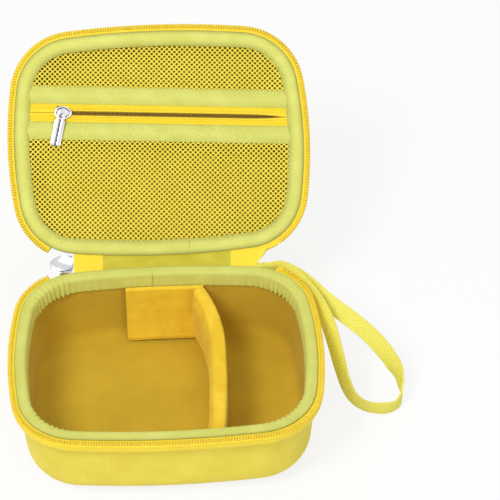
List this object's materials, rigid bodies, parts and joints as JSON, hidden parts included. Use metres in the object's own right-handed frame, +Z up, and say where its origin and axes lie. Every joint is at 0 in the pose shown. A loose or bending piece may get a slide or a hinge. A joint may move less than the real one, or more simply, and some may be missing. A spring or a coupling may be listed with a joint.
{
  "type": "zipped travel case",
  "caption": "Zipped hard-shell travel case with bowed sides, an open lid with a zipped net pocket, a padded divider and a wrist strap.",
  "frame": {"origin": "centre of the flat underside of the base, on the surface that the case stands on", "axes": "+X to the right along the front, +Y towards the hinge at the back, +Z up"},
  "size_m": [0.2418, 0.2645, 0.1606],
  "materials": {
    "shell_cloth": "matte knitted polyester laminated to moulded foam",
    "binding": "matte grosgrain weave",
    "hinge_cloth": "matte woven cloth",
    "zip_tape": "woven tape",
    "zip_teeth": "satin nylon coil",
    "pocket_teeth": "satin nylon coil",
    "hardware": "polished",
    "strap": "ribbed webbing",
    "net": "warp knitted net",
    "divider_fleece": "brushed fleece",
    "hook_strip": "hook tape"
  },
  "bodies": {
    "base": {"base_shell": "shell_cloth", "base_binding": "binding", "base_zip_tape": "zip_tape", "base_zip_teeth": "zip_teeth", "base_zip_stop": "hardware", "hinge_strip": "hinge_cloth", "strap_tab": "strap", "wrist_strap": "strap", "divider_hook_strips": "hook_strip"},
    "lid": {"lid_shell": "shell_cloth", "lid_binding": "binding", "lid_zip_tape": "zip_tape", "lid_zip_teeth": "zip_teeth", "lid_zip_stop": "hardware", "pocket_upper_net": "net", "pocket_lower_net": "net", "pocket_upper_band": "binding", "pocket_lower_band": "binding", "pocket_upper_tape": "zip_tape", "pocket_lower_tape": "zip_tape", "pocket_upper_teeth": "pocket_teeth", "pocket_lower_teeth": "pocket_teeth"},
    "zip_slider": {"zip_slider": "hardware"},
    "zip_pull": {"zip_pull": "hardware"},
    "pocket_slider": {"pocket_slider": "hardware"},
    "pocket_pull": {"pocket_pull": "hardware"},
    "divider": {"divider": "divider_fleece"}
  },
  "joints": [
    {"name": "lid_hinge", "type": "hinge", "parent": "base", "child": "lid", "pos_m": [0, 0.0739, 0.0592], "axis": [-1, 0, 0], "range_deg": [-137, 23], "deforming": ["hinge_strip"]},
    {"name": "zip_slider_turn", "type": "hinge", "parent": "base", "child": "zip_slider", "pos_m": [0, 0.0739, 0.0592], "axis": [-1, 0, 0], "range_deg": [-68.5, 11.5]},
    {"name": "zip_pull_swing", "type": "hinge", "parent": "zip_slider", "child": "zip_pull", "pos_m": [-0.0617, 0.07494, 0.05655], "axis": [1, 0, 0], "range_deg": [-18, 45]},
    {"name": "pocket_slider_slide", "type": "slide", "parent": "lid", "child": "pocket_slider", "axis": [0.9986, -0.0383, -0.0357], "range_m": [-0.01, 0.128]},
    {"name": "pocket_pull_swing", "type": "hinge", "parent": "pocket_slider", "child": "pocket_pull", "pos_m": [-0.05952, 0.142, 0.12476], "axis": [-0.9703, 0.1769, 0.165], "range_deg": [0, 100]},
    {"name": "divider_lift", "type": "slide", "parent": "base", "child": "divider", "axis": [0, 0, 1], "range_m": [0, 0.06]}
  ],
  "couplings": [
    {"joint": "zip_slider_turn", "follows": "lid_hinge", "ratio": 0.5}
  ]
}
